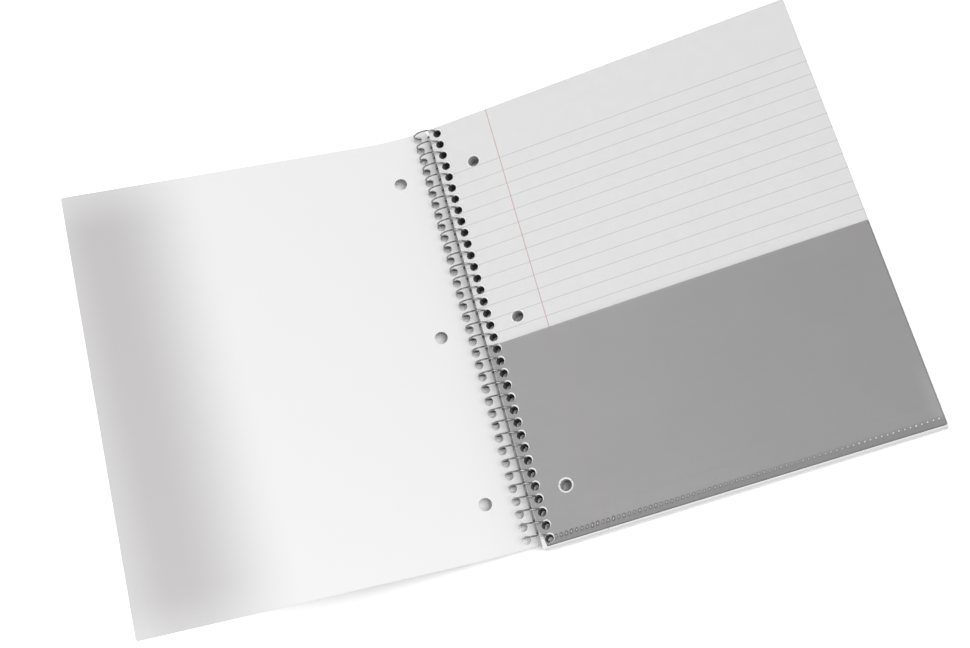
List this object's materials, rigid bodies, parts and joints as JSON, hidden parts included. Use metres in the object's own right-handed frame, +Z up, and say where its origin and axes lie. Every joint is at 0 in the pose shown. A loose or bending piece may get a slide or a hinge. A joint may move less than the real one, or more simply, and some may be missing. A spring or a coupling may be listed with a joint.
{
  "type": "open spiral notebook",
  "caption": "Open coil-bound notebook with punched ruled leaves, a clear divider with a tail pocket, a curled front cover and a flat back cover.",
  "frame": {"origin": "centre of the open book's footprint, on the table", "axes": "+X from the coil towards the leaves' fore edge, +Y along the coil towards the head of the page, +Z up"},
  "size_m": [0.4558, 0.2842, 0.093],
  "materials": {
    "paper": "matt uncoated",
    "cover_card": "satin white sheet",
    "clear_film": "frosted polypropylene sheet",
    "grey_film": "tinted polypropylene sheet",
    "wire": "bright drawn wire"
  },
  "bodies": {
    "book": {"page_block": "paper", "divider_sheet": "clear_film", "pocket_front": "grey_film", "spiral_coil": "wire"},
    "front_cover": {"front_cover": "cover_card"},
    "back_cover": {"back_cover": "cover_card"}
  },
  "joints": [
    {"name": "front_cover_turn", "type": "hinge", "parent": "book", "child": "front_cover", "pos_m": [-0.0092, -0.00215, 0.009], "axis": [0, 1, 0], "range_deg": [-21, 153]},
    {"name": "back_cover_turn", "type": "hinge", "parent": "book", "child": "back_cover", "pos_m": [-0.0092, -0.00215, 0.009], "axis": [0, 1, 0], "range_deg": [0, 20]}
  ]
}
